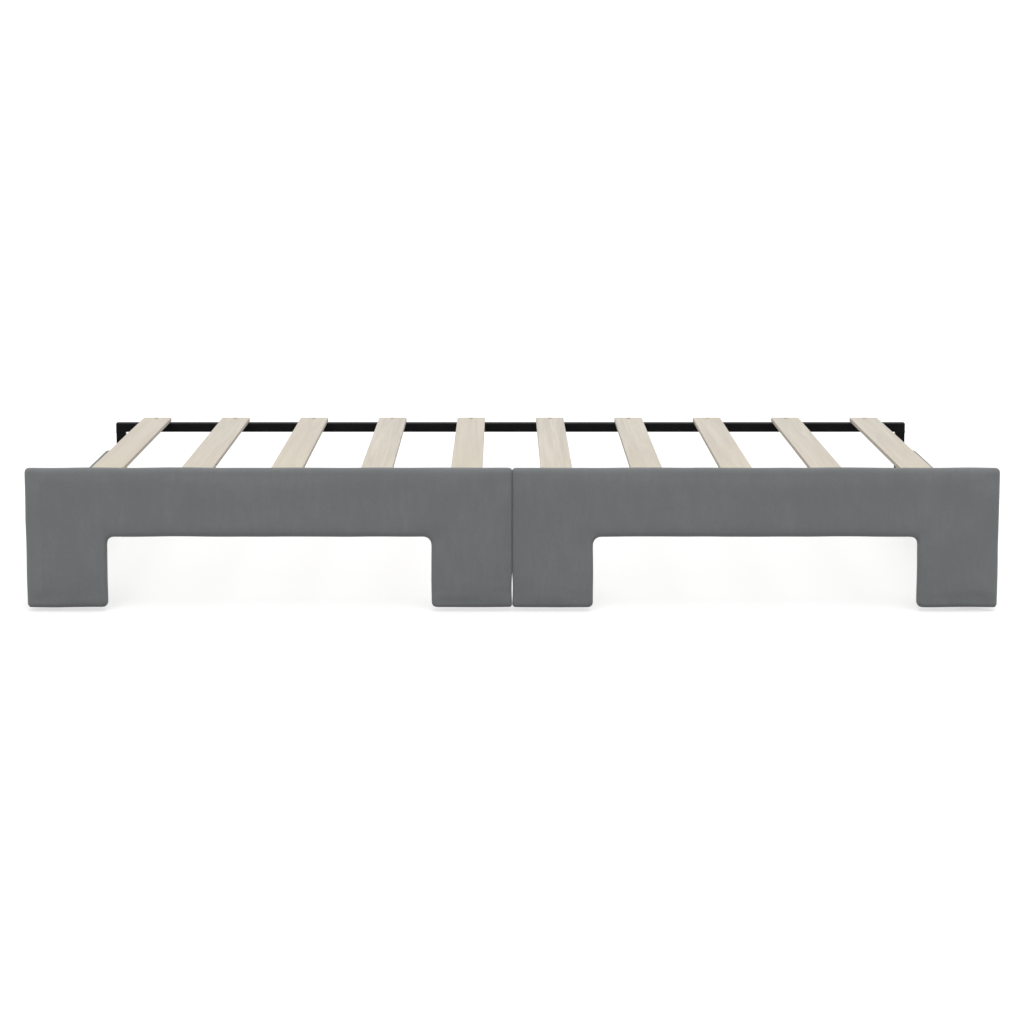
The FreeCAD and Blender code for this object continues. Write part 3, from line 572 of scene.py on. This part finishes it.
def crowned_cloth(piece, fixed, reach):
    """Blow a closed skin up a little where it isn't fixed, never further than reach allows.

    What would sink inwards is mostly held back, and the movement is spread over neighbours.
    """
    start = [(vert.co.copy(), vert.normal.copy()) for vert in piece.data.vertices]
    group = piece.vertex_groups.new(name="fixed")
    group.add([vert.index for vert in piece.data.vertices if fixed(vert.co)], 1.0, "REPLACE")
    cloth = piece.modifiers.new("Cloth", "CLOTH")
    cloth.settings.quality = 4
    cloth.settings.mass = 0.4
    cloth.settings.tension_stiffness = 25
    cloth.settings.compression_stiffness = 25
    cloth.settings.shear_stiffness = 12
    cloth.settings.bending_stiffness = 2
    cloth.settings.use_pressure = True
    cloth.settings.uniform_pressure_force = 4
    cloth.settings.vertex_group_mass = group.name
    cloth.settings.effector_weights.gravity = 0
    cloth.point_cache.frame_start = 1
    cloth.point_cache.frame_end = CLOTH_FRAMES
    for step in range(1, CLOTH_FRAMES + 1):
        bpy.context.scene.frame_set(step)
    applied(piece)
    piece.vertex_groups.clear()
    bpy.context.scene.frame_set(1)
    ways = []
    for vert, (home, out) in zip(piece.data.vertices, start):
        way = Vector(max(-r, min(r, w)) for w, r in zip(vert.co - home, reach))
        ways.append(way - 0.8 * min(0.0, way.dot(out)) * out)
    mesh = bmesh.new()
    mesh.from_mesh(piece.data)
    near = [[edge.other_vert(vert).index for edge in vert.link_edges] for vert in mesh.verts]
    mesh.free()
    for _ in range(SPREAD_PASSES):
        ways = [(way + sum((ways[i] for i in others), Vector())) / (1 + len(others))
                for way, others in zip(ways, near)]
    for vert, (home, _), way in zip(piece.data.vertices, start, ways):
        vert.co = home + way


def remeshed(piece, grain):
    """Give a closed mesh even quads that still lie on its own surface."""
    pattern = bpy.data.objects.new("pattern", piece.data.copy())
    bpy.context.scene.collection.objects.link(pattern)
    voxels = piece.modifiers.new("Voxels", "REMESH")
    voxels.mode = "VOXEL"
    voxels.voxel_size = grain
    applied(piece)
    mesh = bmesh.new()
    mesh.from_mesh(piece.data)
    for _ in range(SMOOTH_PASSES):
        bmesh.ops.smooth_vert(mesh, verts=mesh.verts, factor=0.5,
                              use_axis_x=True, use_axis_y=True, use_axis_z=True)
    mesh.to_mesh(piece.data)
    mesh.free()
    wrap = piece.modifiers.new("Pattern", "SHRINKWRAP")
    wrap.wrap_method = "NEAREST_SURFACEPOINT"
    wrap.target = pattern
    applied(piece)
    bpy.data.objects.remove(pattern)


def subdivided(piece):
    smooth = piece.modifiers.new("Subdivision", "SUBSURF")
    smooth.levels = smooth.render_levels = 1
    applied(piece)


def fitted(piece, low, high, axes):
    """Stretch a mesh along some axes so that it spans exactly from low to high."""
    verts = piece.data.vertices
    for axis in axes:
        least = min(vert.co[axis] for vert in verts)
        most = max(vert.co[axis] for vert in verts)
        scale = (high[axis] - low[axis]) / (most - least)
        for vert in verts:
            vert.co[axis] = low[axis] + (vert.co[axis] - least) * scale


def clamped(value):
    """A number held between 0 and 1."""
    return min(1.0, max(0.0, value))


def sway(point, wavelength, seed):
    """A slow wander between -1 and 1 at a point."""
    return noise.noise(point / wavelength + Vector((seed, 2.7 * seed, 0.3)))


def wander(kind, point, seed):
    """How far one kind of unevenness moves the cloth at a point."""
    size, wavelength = WANDER[kind]
    return size * sway(point, wavelength, seed)


# ---------------------------------------------------------------- upholstery

def panel_corners(side, inset, depth):
    """The outline of a front panel, drawn inset from the padded one, at one depth."""
    sizes = upholstery()
    low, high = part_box(f"front_cover_{'left' if side < 0 else 'right'}")
    seam, end = (high.x, low.x) if side < 0 else (low.x, high.x)
    foot, top = low.z + inset, high.z - inset
    arch = low.z + sizes.arch_height + inset
    inner_leg = seam + side * (sizes.leg_width - inset)
    outer_leg = end - side * (sizes.leg_width - inset)
    foot_round = max(sizes.foot_round - inset, 0)
    outer_round = max(sizes.outer_round - inset, 0)
    plan = [
        (seam + side * inset, foot, 0.4 * outer_round), (inner_leg, foot, foot_round),
        (inner_leg, arch, sizes.arch_round + inset), (outer_leg, arch, sizes.arch_round + inset),
        (outer_leg, foot, foot_round), (end - side * inset, foot, 0.4 * outer_round),
        (end - side * inset, top, outer_round), (seam + side * inset, top, outer_round),
    ]
    return [(Vector((x, depth, z)), radius) for x, z, radius in plan]


def front_panel(name, side):
    """The padded, fabric-covered front panel on one side of the seam."""
    sizes = upholstery()
    low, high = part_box(f"front_cover_{name}")
    back = high.y + LAP["front"]
    depth = Vector((0, low.y + sizes.puff - back, 0))
    mesh = slab(panel_corners(side, DRAWN_IN["front"], back), depth, FOAM_ROUND)
    piece = piece_from(mesh, f"front_upholstery_{name}", "grey_fabric", "frame",
                       [f"front_cover_{name}"])
    remeshed(piece, sizes.grain)
    crowned_cloth(piece, lambda co: co.y > back - HELD["front"],
                  (SLIP["front"], sizes.puff, SLIP["front"]))
    subdivided(piece)
    fitted(piece, low, high, (0, 2))
    seam = min(abs(low.x), abs(high.x))
    for vert in piece.data.vertices:
        here = vert.co.copy()
        from_seam = abs(here.x) - seam
        settled = clamped(from_seam / JOIN_REACH)
        vert.co.z += wander("front edge", Vector((here.x, 0, 0)), 3 + side)
        gap = WEDGE_WIDTH * math.sin(math.pi * clamped((here.z - low.z) / WEDGE_HEIGHT)) - JOIN_OVERLAP
        gap += GROOVE_WIDTH * clamped((low.y + GROOVE_DEPTH - here.y) / GROOVE_FADE)
        pressed = max(0.0, from_seam - JOIN_PRESSED * (1 - settled))
        vert.co.x = side * (pressed + seam * settled + gap * (1 - settled))
        vert.co.x += wander("front end", Vector((0, 0, here.z)), 11 + side) * settled
        if here.y > back - 0.008:
            continue
        low_down = max(0.0, 1 - (here.z - low.z) / 0.07)
        crease = wander("front crease", Vector((here.x * 0.45, 0, here.z * 2.6)), 21 + side)
        pucker = wander("front pucker", Vector((here.x, 0, here.z)), 31 + side)
        vert.co.y += low_down * crease + pucker
    return piece


def side_corners(side, inset, across):
    """The outline of a side board, drawn inset from the padded one, at one distance across."""
    sizes = upholstery()
    low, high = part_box(f"side_cover_{'left' if side < 0 else 'right'}")
    plan = [
        (low.y + inset, low.z + inset, 0.002),
        (high.y - inset, low.z + inset, sizes.side_foot_round - inset),
        (high.y - inset, high.z - inset, sizes.side_top_round - inset),
        (low.y + inset, high.z - inset, 0.002),
    ]
    return [(Vector((across, y, z)), radius) for y, z, radius in plan]


def side_panel(name, side):
    """The padded, fabric-covered board along one side."""
    sizes = upholstery()
    low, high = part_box(f"side_cover_{name}")
    inner, outer = (low.x, high.x) if side > 0 else (high.x, low.x)
    back = inner + side * LAP["side"]
    puff = 0.6 * sizes.puff
    depth = Vector((outer - side * puff - back, 0, 0))
    mesh = slab(side_corners(side, DRAWN_IN["side"], back), depth, FOAM_ROUND)
    piece = piece_from(mesh, f"side_upholstery_{name}", "grey_fabric", "frame",
                       [f"side_cover_{name}"])
    remeshed(piece, 0.8 * sizes.grain)
    crowned_cloth(piece, lambda co: abs(co.x - back) < HELD["side"],
                  (puff, SLIP["side"], SLIP["side"]))
    subdivided(piece)
    fitted(piece, low, high, (1, 2))
    for vert in piece.data.vertices:
        here = vert.co.copy()
        vert.co.z += wander("side edge", Vector((0, here.y, 0)), 5 + side)
        if abs(here.x - back) > HELD["side"]:
            vert.co.x += side * wander("side face", Vector((0, here.y, 2 * here.z)), 7 + side)
    return piece


def band(name, corners, inner_corners, depth, slot):
    """A thin turned-over strip of cloth between two outlines."""
    mesh = bmesh.new()
    rims = []
    for ring in (corners, inner_corners):
        before = set(mesh.edges)
        outline_face(mesh, ring)
        rims.append([edge for edge in mesh.edges if edge not in before])
    bmesh.ops.delete(mesh, geom=list(mesh.faces), context="FACES_ONLY")
    bmesh.ops.bridge_loops(mesh, edges=rims[0] + rims[1])
    made = bmesh.ops.extrude_face_region(mesh, geom=list(mesh.faces))
    moved = [item for item in made["geom"] if isinstance(item, bmesh.types.BMVert)]
    bmesh.ops.translate(mesh, vec=depth, verts=moved)
    bmesh.ops.recalc_face_normals(mesh, faces=mesh.faces)
    return piece_from(mesh, name, slot, "frame", smooth=False)


def along_outline(corners, spacing):
    """Points spaced along an outline's straight runs, each with the run's direction."""
    points = [point for point, _ in corners]
    spots = []
    for i, point in enumerate(points):
        run = points[(i + 1) % len(points)] - point
        count = int(run.length // spacing)
        if count:
            spots += [(point + run * ((k + 0.5) / count), run.normalized()) for k in range(count)]
    return spots


def staples(name, spots, out):
    """Crown staples pressed into the cloth, each along its own run, slightly askew."""
    mesh = bmesh.new()
    for number, (point, run) in enumerate(spots):
        part = bmesh.new()
        box_mesh(part, STAPLE_LOW, STAPLE_HIGH, 0.0004, 1)
        turn = Matrix((run, out.cross(run), out)).transposed().to_4x4()
        askew = Matrix.Rotation(0.25 * sway(Vector((number * 0.37, 0, 0)), 0.1, 2), 4, "Z")
        bmesh.ops.transform(part, matrix=Matrix.Translation(point) @ turn @ askew, verts=part.verts)
        joined(mesh, part)
    return piece_from(mesh, name, "zinc_steel", "frame", smooth=False)


STEEL_BY_PANELS = ("front_rail", "front_leg", "rear_leg", "rail_end", "side_tube", "joining_plate",
                   "foot_plate", "castor_fork")


def clear_of_steel(point, reach=0.008):
    """Whether nothing of the frame lies over a point on the back of a panel."""
    for node in NODES:
        if node.startswith(STEEL_BY_PANELS):
            low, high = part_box(node)
            if all(low[i] - reach < point[i] < high[i] + reach for i in range(3)):
                return False
    return True


def clear_spots(corners, spacing):
    """The places along an outline that no steel covers."""
    return [spot for spot in along_outline(corners, spacing) if clear_of_steel(spot[0])]


# ---------------------------------------------------------------- screws

def head_places(node, way):
    """The middle of each fastener's head top in a packed group, looking along way."""
    axis = max(range(3), key=lambda i: abs(way[i]))
    flat = [i for i in range(3) if i != axis]
    found = []
    for vert in NODES[node].data.vertices:
        co = vert.co
        for group in found:
            near = all(abs(co[i] - group[0][i]) < 0.012 for i in flat)
            if near and (co[axis] > 0) == (group[0][axis] > 0):
                group.append(co.copy())
                break
        else:
            found.append([co.copy()])
    places = []
    for group in found:
        middle = Vector((0, 0, 0))
        for i in flat:
            middle[i] = (min(co[i] for co in group) + max(co[i] for co in group)) / 2
        middle[axis] = max(group, key=lambda co: co.dot(way))[axis]
        places.append(middle)
    return places


def screw_master(radius, height, hex_socket=False):
    """A domed head on the XY plane, looking up, with a cross or hexagonal recess cut into it."""
    mesh = bmesh.new()
    profile = [(0, -0.001), (radius, -0.001), (radius, 0.25 * height), (0.93 * radius, 0.55 * height),
               (0.72 * radius, 0.83 * height), (0.4 * radius, 0.97 * height), (0, height)]
    verts = [mesh.verts.new((x, 0, z)) for x, z in profile]
    edges = [mesh.edges.new(pair) for pair in zip(verts, verts[1:])]
    bmesh.ops.spin(mesh, geom=verts + edges, cent=(0, 0, 0), axis=(0, 0, 1), angle=2 * math.pi,
                   steps=28, use_merge=True)
    bmesh.ops.remove_doubles(mesh, verts=mesh.verts, dist=1e-6)
    bmesh.ops.recalc_face_normals(mesh, faces=mesh.faces)
    head = bpy.data.objects.new("head", bpy.data.meshes.new("head"))
    mesh.to_mesh(head.data)
    mesh.free()
    cutter = bmesh.new()
    if hex_socket:
        bmesh.ops.create_cone(cutter, cap_ends=True, segments=6, radius1=0.5 * radius,
                              radius2=0.52 * radius, depth=1.4 * height)
        bmesh.ops.translate(cutter, vec=(0, 0, height), verts=cutter.verts)
    else:
        for turn in (0, math.pi / 2):
            made = bmesh.ops.create_cube(cutter, size=1)
            slot_size = (1.15 * radius, 0.24 * radius, 1.5 * height)
            bmesh.ops.scale(cutter, vec=slot_size, verts=made["verts"])
            for vert in made["verts"]:
                if vert.co.z < 0:
                    vert.co.x *= 0.35
            bmesh.ops.rotate(cutter, cent=(0, 0, 0), matrix=Matrix.Rotation(turn, 3, "Z"),
                             verts=made["verts"])
            bmesh.ops.translate(cutter, vec=(0, 0, 1.05 * height), verts=made["verts"])
    tool = bpy.data.objects.new("recess", bpy.data.meshes.new("recess"))
    cutter.to_mesh(tool.data)
    cutter.free()
    for item in (head, tool):
        bpy.context.scene.collection.objects.link(item)
    cut = head.modifiers.new("Recess", "BOOLEAN")
    cut.object = tool
    cut.operation = "DIFFERENCE"
    cut.solver = "EXACT"
    cut.use_self = True
    applied(head)
    data = head.data
    for item in (head, tool):
        bpy.data.objects.remove(item)
    return data


def screws(node, way, radius, height, slot, hex_socket=False):
    """Heads with recesses for every fastener of a packed group; the shanks stay out of sight."""
    master = screw_master(radius, height, hex_socket)
    mesh = bmesh.new()
    for number, top in enumerate(head_places(node, way)):
        part = bmesh.new()
        part.from_mesh(master)
        spin = Matrix.Rotation(math.pi * sway(Vector((number * 0.71, 0.2, 0)), 0.13, 4), 4, "Z")
        turn = way.to_track_quat("Z", "Y").to_matrix().to_4x4()
        placed = Matrix.Translation(top - way * height) @ turn @ spin
        bmesh.ops.transform(part, matrix=placed, verts=part.verts)
        joined(mesh, part)
    bmesh.ops.recalc_face_normals(mesh, faces=mesh.faces)
    piece = piece_from(mesh, f"{node}_heads", slot, "frame", [node])
    piece.data.set_sharp_from_angle(angle=math.radians(35))
    return piece


# ---------------------------------------------------------------- steel and castors

def end_beads(mesh, tube, axis):
    """A bead round both ends of a tube that runs along an axis."""
    low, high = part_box(tube)
    joint = (low + high) / 2
    reach = (high - low) / 2 + Vector((WELD_PROUD, WELD_PROUD, WELD_PROUD))
    reach[axis] = WELD_HALF
    for end in (low, high):
        joint[axis] = end[axis]
        box_mesh(mesh, joint - reach, joint + reach, WELD_ROUND)


def weld_beads():
    """The beads where legs meet rails and foot plates, and where the side tubes meet the legs."""
    mesh = bmesh.new()
    for name in SIDES:
        for end in ENDS:
            end_beads(mesh, f"{end}_leg_{name}", 2)
        end_beads(mesh, f"side_tube_{name}", 1)
    long_edges = [edge for edge in mesh.edges if edge.calc_length() > 0.01]
    bmesh.ops.subdivide_edges(mesh, edges=long_edges, cuts=14, use_grid_fill=True)
    bmesh.ops.recalc_face_normals(mesh, faces=mesh.faces)
    for vert in mesh.verts:
        vert.co += vert.normal * 0.0004 * sway(vert.co.copy(), 0.0028, 9)
    return piece_from(mesh, "weld_beads", "black_steel", "frame")


def hub_ribs(end, name):
    """Moulded ribs between a wheel's boss and its rim, on both faces."""
    low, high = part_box(f"wheel_hub_{end}_{name}")
    middle = (low + high) / 2
    rim = (high.z - low.z) / 2
    mesh = bmesh.new()
    for face in (-1, 1):
        for number in range(6):
            part = bmesh.new()
            box_mesh(part, (0.0032, -0.0007, 0.0075), (0.0088, 0.0007, rim - 0.0035), 0.0003, 1)
            if face < 0:
                bmesh.ops.scale(part, vec=(-1, 1, 1), verts=part.verts)
                bmesh.ops.reverse_faces(part, faces=part.faces)
            turn = Matrix.Rotation(number * math.pi / 3, 3, "X")
            bmesh.ops.rotate(part, cent=(0, 0, 0), matrix=turn, verts=part.verts)
            bmesh.ops.translate(part, vec=middle, verts=part.verts)
            joined(mesh, part)
    return piece_from(mesh, f"hub_ribs_{end}_{name}", "grey_plastic", f"wheel_{end}_{name}",
                      smooth=False)


# ---------------------------------------------------------------- operators

class TRUNDLE_OT_front_panels(bpy.types.Operator):
    """Make the two padded front panels."""

    bl_idname = "trundle.front_panels"
    bl_label = "Front panels"

    def execute(self, context):
        for name, side in SIDES.items():
            front_panel(name, side)
        return {"FINISHED"}


class TRUNDLE_OT_side_panels(bpy.types.Operator):
    """Make the padded board on each side, with its turned-over cloth and staples."""

    bl_idname = "trundle.side_panels"
    bl_label = "Side panels"

    def execute(self, context):
        for name, side in SIDES.items():
            side_panel(name, side)
            low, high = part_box(f"side_board_{name}")
            inner = low.x if side > 0 else high.x
            lift = Vector((-side * 0.0003, 0, 0))
            band(f"side_turnover_{name}", side_corners(side, 0.002, inner),
                 side_corners(side, 0.017, inner), lift, "grey_fabric")
            line = side_corners(side, 0.012, inner - side * 0.0003)
            staples(f"side_staples_{name}", clear_spots(line, 0.045), Vector((-side, 0, 0)))
        return {"FINISHED"}


class TRUNDLE_OT_linings(bpy.types.Operator):
    """Finish the backs of the front panels: dust cloth and its staples."""

    bl_idname = "trundle.linings"
    bl_label = "Back linings"

    def execute(self, context):
        for name, side in SIDES.items():
            dress(f"back_lining_{name}")
            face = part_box(f"back_lining_{name}")[1].y
            line = panel_corners(side, 0.018, face)
            staples(f"lining_staples_{name}", clear_spots(line, 0.042), Y)
        return {"FINISHED"}


class TRUNDLE_OT_slats(bpy.types.Operator):
    """Finish the plywood slats and the raw boards, and make the slats' screws."""

    bl_idname = "trundle.slats"
    bl_label = "Slats"

    def execute(self, context):
        dress_all("slat_0", "slat_1", "front_board", "side_board")
        for end in ENDS:
            screws(f"slat_screws_{end}", Z, 0.0044, 0.0026, "bronzed_screw")
        return {"FINISHED"}


class TRUNDLE_OT_steel_frame(bpy.types.Operator):
    """Finish the welded frame, its caps, plates, bolts and screws."""

    bl_idname = "trundle.steel_frame"
    bl_label = "Steel frame"

    def execute(self, context):
        dress_all("front_rail", "rear_rail", "front_leg", "rear_leg", "side_tube", "foot_plate",
                  "rail_end_caps", "joining_plate", "panel_tee_nuts", "side_screws")
        weld_beads()
        screws("joining_screws", Y, 0.004, 0.0026, "zinc_steel")
        screws("panel_bolts", Y, 0.0055, 0.0033, "zinc_steel", hex_socket=True)
        return {"FINISHED"}


class TRUNDLE_OT_castors(bpy.types.Operator):
    """Finish the castors and make the ribs of their wheels."""

    bl_idname = "trundle.castors"
    bl_label = "Castors"

    def execute(self, context):
        dress_all("castor_fork", "castor_axles", "axle_nuts", "wheel_hub", "wheel_tread")
        screws("castor_screws", -Z, 0.0045, 0.0025, "zinc_steel")
        for end in ENDS:
            for name in SIDES:
                hub_ribs(end, name)
        return {"FINISHED"}


class TRUNDLE_OT_stage(bpy.types.Operator):
    """Set up the pale floor, the soft lights and the camera."""

    bl_idname = "trundle.stage"
    bl_label = "Stage"

    def execute(self, context):
        scene = bpy.context.scene
        stage = scene.trundle_stage
        floor_mesh = bmesh.new()
        bmesh.ops.create_grid(floor_mesh, x_segments=1, y_segments=1, size=60)
        data = bpy.data.meshes.new("floor")
        floor_mesh.to_mesh(data)
        floor_mesh.free()
        floor = bpy.data.objects.new("floor", data)
        scene.collection.objects.link(floor)
        data.materials.append(floor_finish())

        scene.world = bpy.data.worlds.new("room")
        room = Shader(scene.world)
        seen = room.node("LightPath", {}, {}, "Is Camera Ray")
        strength = stage.world + (SKY_SEEN - stage.world) * seen
        sky = room.node("Background", {}, {"Color": (1, 1, 1, 1), "Strength": strength})
        room.node("OutputWorld", {}, {"Surface": sky})

        for name, way, spread, power in LAMPS:
            lamp = bpy.data.lights.new(name, "SUN")
            lamp.energy = power
            lamp.angle = math.radians(spread)
            item = bpy.data.objects.new(name, lamp)
            item.rotation_euler = Vector(way).to_track_quat("-Z", "Y").to_euler()
            scene.collection.objects.link(item)

        scene.view_settings.view_transform = "Standard"
        scene.view_settings.look = "None"
        camera = bpy.data.cameras.new("camera")
        camera.lens = stage.lens
        camera.sensor_width = 36
        camera.shift_x, camera.shift_y = CAMERA_SHIFT
        camera.clip_end = 200
        item = bpy.data.objects.new("camera", camera)
        item.location = CAMERA_PLACE
        item.rotation_euler = (math.pi / 2 - stage.pitch, 0, 0)
        scene.collection.objects.link(item)
        scene.camera = item
        return {"FINISHED"}


class TRUNDLE_PT_panel(bpy.types.Panel):
    """The bed's sizes, colours and pieces."""

    bl_label = "Trundle bed"
    bl_idname = "TRUNDLE_PT_panel"
    bl_space_type = "VIEW_3D"
    bl_region_type = "UI"
    bl_category = "Trundle bed"

    def draw(self, context):
        for group in (context.scene.trundle_upholstery, context.scene.trundle_finishes,
                      context.scene.trundle_stage):
            box = self.layout.box()
            for name in group.__annotations__:
                box.prop(group, name)
        for operator in OPERATORS:
            self.layout.operator(operator.bl_idname)


GROUPS = {
    "trundle_upholstery": TrundleUpholstery,
    "trundle_finishes": TrundleFinishes,
    "trundle_stage": TrundleStage,
}
OPERATORS = (
    TRUNDLE_OT_front_panels,
    TRUNDLE_OT_side_panels,
    TRUNDLE_OT_linings,
    TRUNDLE_OT_slats,
    TRUNDLE_OT_steel_frame,
    TRUNDLE_OT_castors,
    TRUNDLE_OT_stage,
)


def register():
    for name, group in GROUPS.items():
        bpy.utils.register_class(group)
        setattr(bpy.types.Scene, name, bpy.props.PointerProperty(type=group))
    for item in (*OPERATORS, TRUNDLE_PT_panel):
        bpy.utils.register_class(item)


def unregister():
    for item in (TRUNDLE_PT_panel, *reversed(OPERATORS)):
        bpy.utils.unregister_class(item)
    for name, group in reversed(GROUPS.items()):
        delattr(bpy.types.Scene, name)
        bpy.utils.unregister_class(group)


def main():
    register()
    for operator in OPERATORS:
        group, name = operator.bl_idname.split(".")
        getattr(getattr(bpy.ops, group), name)()


if __name__ == "__main__":
    main()
